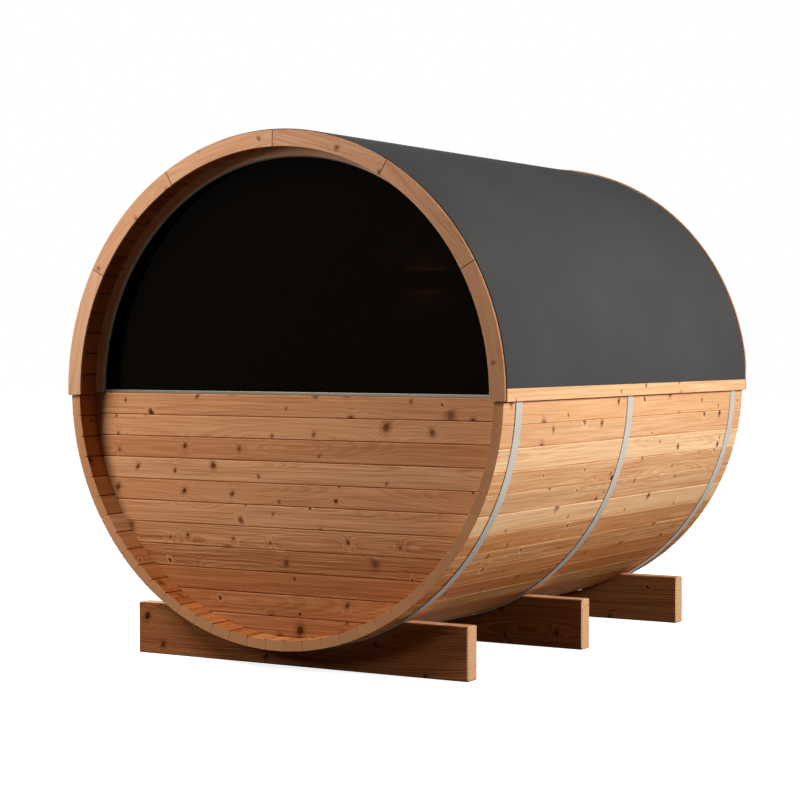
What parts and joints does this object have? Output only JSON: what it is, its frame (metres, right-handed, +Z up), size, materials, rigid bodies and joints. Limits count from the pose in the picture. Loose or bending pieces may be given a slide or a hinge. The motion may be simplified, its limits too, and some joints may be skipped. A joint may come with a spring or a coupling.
{
  "type": "barrel sauna",
  "caption": "Barrel sauna of lengthwise staves on timber cradles, with a half-moon tinted window in one recessed end, a glazed door in the other, steel hoops and a membrane roof.",
  "frame": {"origin": "on the ground under the barrel axis, at mid-length", "axes": "+Z up, barrel axis along Y, the end with the half-moon window faces -Y and the end with the door faces +Y"},
  "size_m": [2.0906, 2.414, 2.163],
  "materials": {
    "cradle_timber": "planed softwood, stained brown",
    "stave_wood": "planed heat-treated pine, oiled",
    "plank_wood": "planed heat-treated pine, oiled",
    "fascia_wood": "planed heat-treated pine, oiled",
    "lath_wood": "planed softwood",
    "door_wood": "planed heat-treated pine, oiled",
    "hoop_steel": "satin stainless band",
    "door_steel": "satin",
    "rail_aluminium": "satin",
    "roof_membrane": "matt dark grey sheet",
    "tinted_glass": "dark tinted, polished"
  },
  "bodies": {
    "root": {"cradle_front": "cradle_timber", "cradle_middle": "cradle_timber", "cradle_rear": "cradle_timber", "barrel_wall_01": "stave_wood", "barrel_wall_02": "stave_wood", "barrel_wall_03": "stave_wood", "barrel_wall_04": "stave_wood", "barrel_wall_05": "stave_wood", "barrel_wall_06": "stave_wood", "barrel_wall_07": "stave_wood", "barrel_wall_08": "stave_wood", "barrel_wall_09": "stave_wood", "barrel_wall_10": "stave_wood", "barrel_wall_11": "stave_wood", "hoop_front": "hoop_steel", "hoop_middle": "hoop_steel", "hoop_rear": "hoop_steel", "roof_underlay": "lath_wood", "roof_membrane": "roof_membrane", "eave_batten_left": "stave_wood", "eave_batten_right": "stave_wood", "front_fascia": "fascia_wood", "rear_fascia": "fascia_wood", "front_wall": "plank_wood", "rear_wall_left": "plank_wood", "rear_wall_right": "plank_wood", "rear_wall_over_door": "plank_wood", "rear_wall_below_door": "plank_wood", "window_ring": "fascia_wood", "window_glass": "tinted_glass", "door_glass": "tinted_glass", "window_bead": "rail_aluminium", "window_sill": "rail_aluminium", "door_frame": "door_wood", "door_leaf": "door_wood", "door_pull": "door_steel", "door_hinges": "door_steel", "wall_lamp": "lath_wood"}
  },
  "joints": []
}
